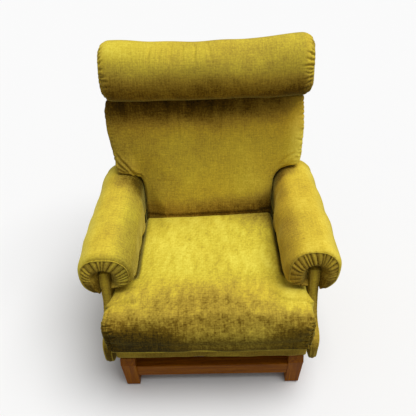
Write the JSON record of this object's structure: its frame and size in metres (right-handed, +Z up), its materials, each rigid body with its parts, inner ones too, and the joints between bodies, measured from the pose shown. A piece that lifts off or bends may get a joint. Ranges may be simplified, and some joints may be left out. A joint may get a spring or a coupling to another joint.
{
  "type": "armchair",
  "caption": "Upholstered platform-rocker recliner armchair with T-shaped cushions, roll headrest, saddle-roll arms, thin side panels, pull-out footrest and wooden base.",
  "frame": {"origin": "on the floor under the middle of the chair's bounding box at rest", "axes": "+Z up, the chair faces -Y, +X to the right seen from the front; left and right in names are as seen from the front"},
  "size_m": [0.84, 0.8671, 1.036],
  "materials": {
    "velour": "cotton velour pile, mustard green",
    "stained_wood": "stained and varnished",
    "beech": "bare sawn",
    "plywood": "bare",
    "webbing": "elastic woven",
    "steel": "zinc plated",
    "nylon": "moulded"
  },
  "bodies": {
    "base": {"base_front_rail": "stained_wood", "base_rear_rail": "stained_wood", "base_corner_blocks": "beech", "base_glides": "nylon", "spring_shelf": "beech", "base_front_leg_left": "stained_wood", "base_front_leg_right": "stained_wood", "base_rear_leg_left": "stained_wood", "base_rear_leg_right": "stained_wood", "base_runner_left": "stained_wood", "base_runner_right": "stained_wood", "rocker_spring_left": "steel", "rocker_spring_right": "steel"},
    "body": {"seat_front_rail": "beech", "seat_rear_rail": "beech", "seat_webbing": "webbing", "seat_cushion": "velour", "rocker_left": "beech", "rocker_right": "beech", "seat_side_rail_left": "beech", "seat_side_rail_right": "beech", "side_panel_left": "velour", "side_panel_right": "velour", "arm_board_left": "beech", "arm_board_right": "beech", "arm_pad_left": "velour", "arm_pad_right": "velour", "recline_bush_left": "steel", "recline_bush_right": "steel", "recline_stops_left": "steel", "recline_stops_right": "steel", "footrest_lower_guide_left": "beech", "footrest_lower_guide_right": "beech", "footrest_upper_guide_left": "beech", "footrest_upper_guide_right": "beech"},
    "back": {"back_bottom_rail": "beech", "back_wing_rail": "beech", "back_top_rail": "beech", "back_webbing": "webbing", "back_cushion": "velour", "outside_back": "velour", "headrest_roll": "velour", "back_post_left": "beech", "back_post_right": "beech", "back_slat_left": "beech", "back_slat_right": "beech", "recline_hinge_left": "steel", "recline_hinge_right": "steel"},
    "footrest": {"footrest_board": "plywood", "footrest_pad": "velour", "footrest_border": "velour", "footrest_runner_left": "beech", "footrest_runner_right": "beech"}
  },
  "joints": [
    {"name": "rock", "type": "hinge", "parent": "base", "child": "body", "pos_m": [0, 0.02, 0.5933], "axis": [-1, 0, 0], "range_deg": [-6, 10], "stiffness_Nm_per_rad": 90, "deforming": ["rocker_spring_left", "rocker_spring_right"]},
    {"name": "back_recline", "type": "hinge", "parent": "body", "child": "back", "pos_m": [0, 0.178, 0.235], "axis": [-1, 0, 0], "range_deg": [0, 35]},
    {"name": "footrest_slide", "type": "slide", "parent": "body", "child": "footrest", "axis": [0, -1, 0], "range_m": [0, 0.28]}
  ]
}
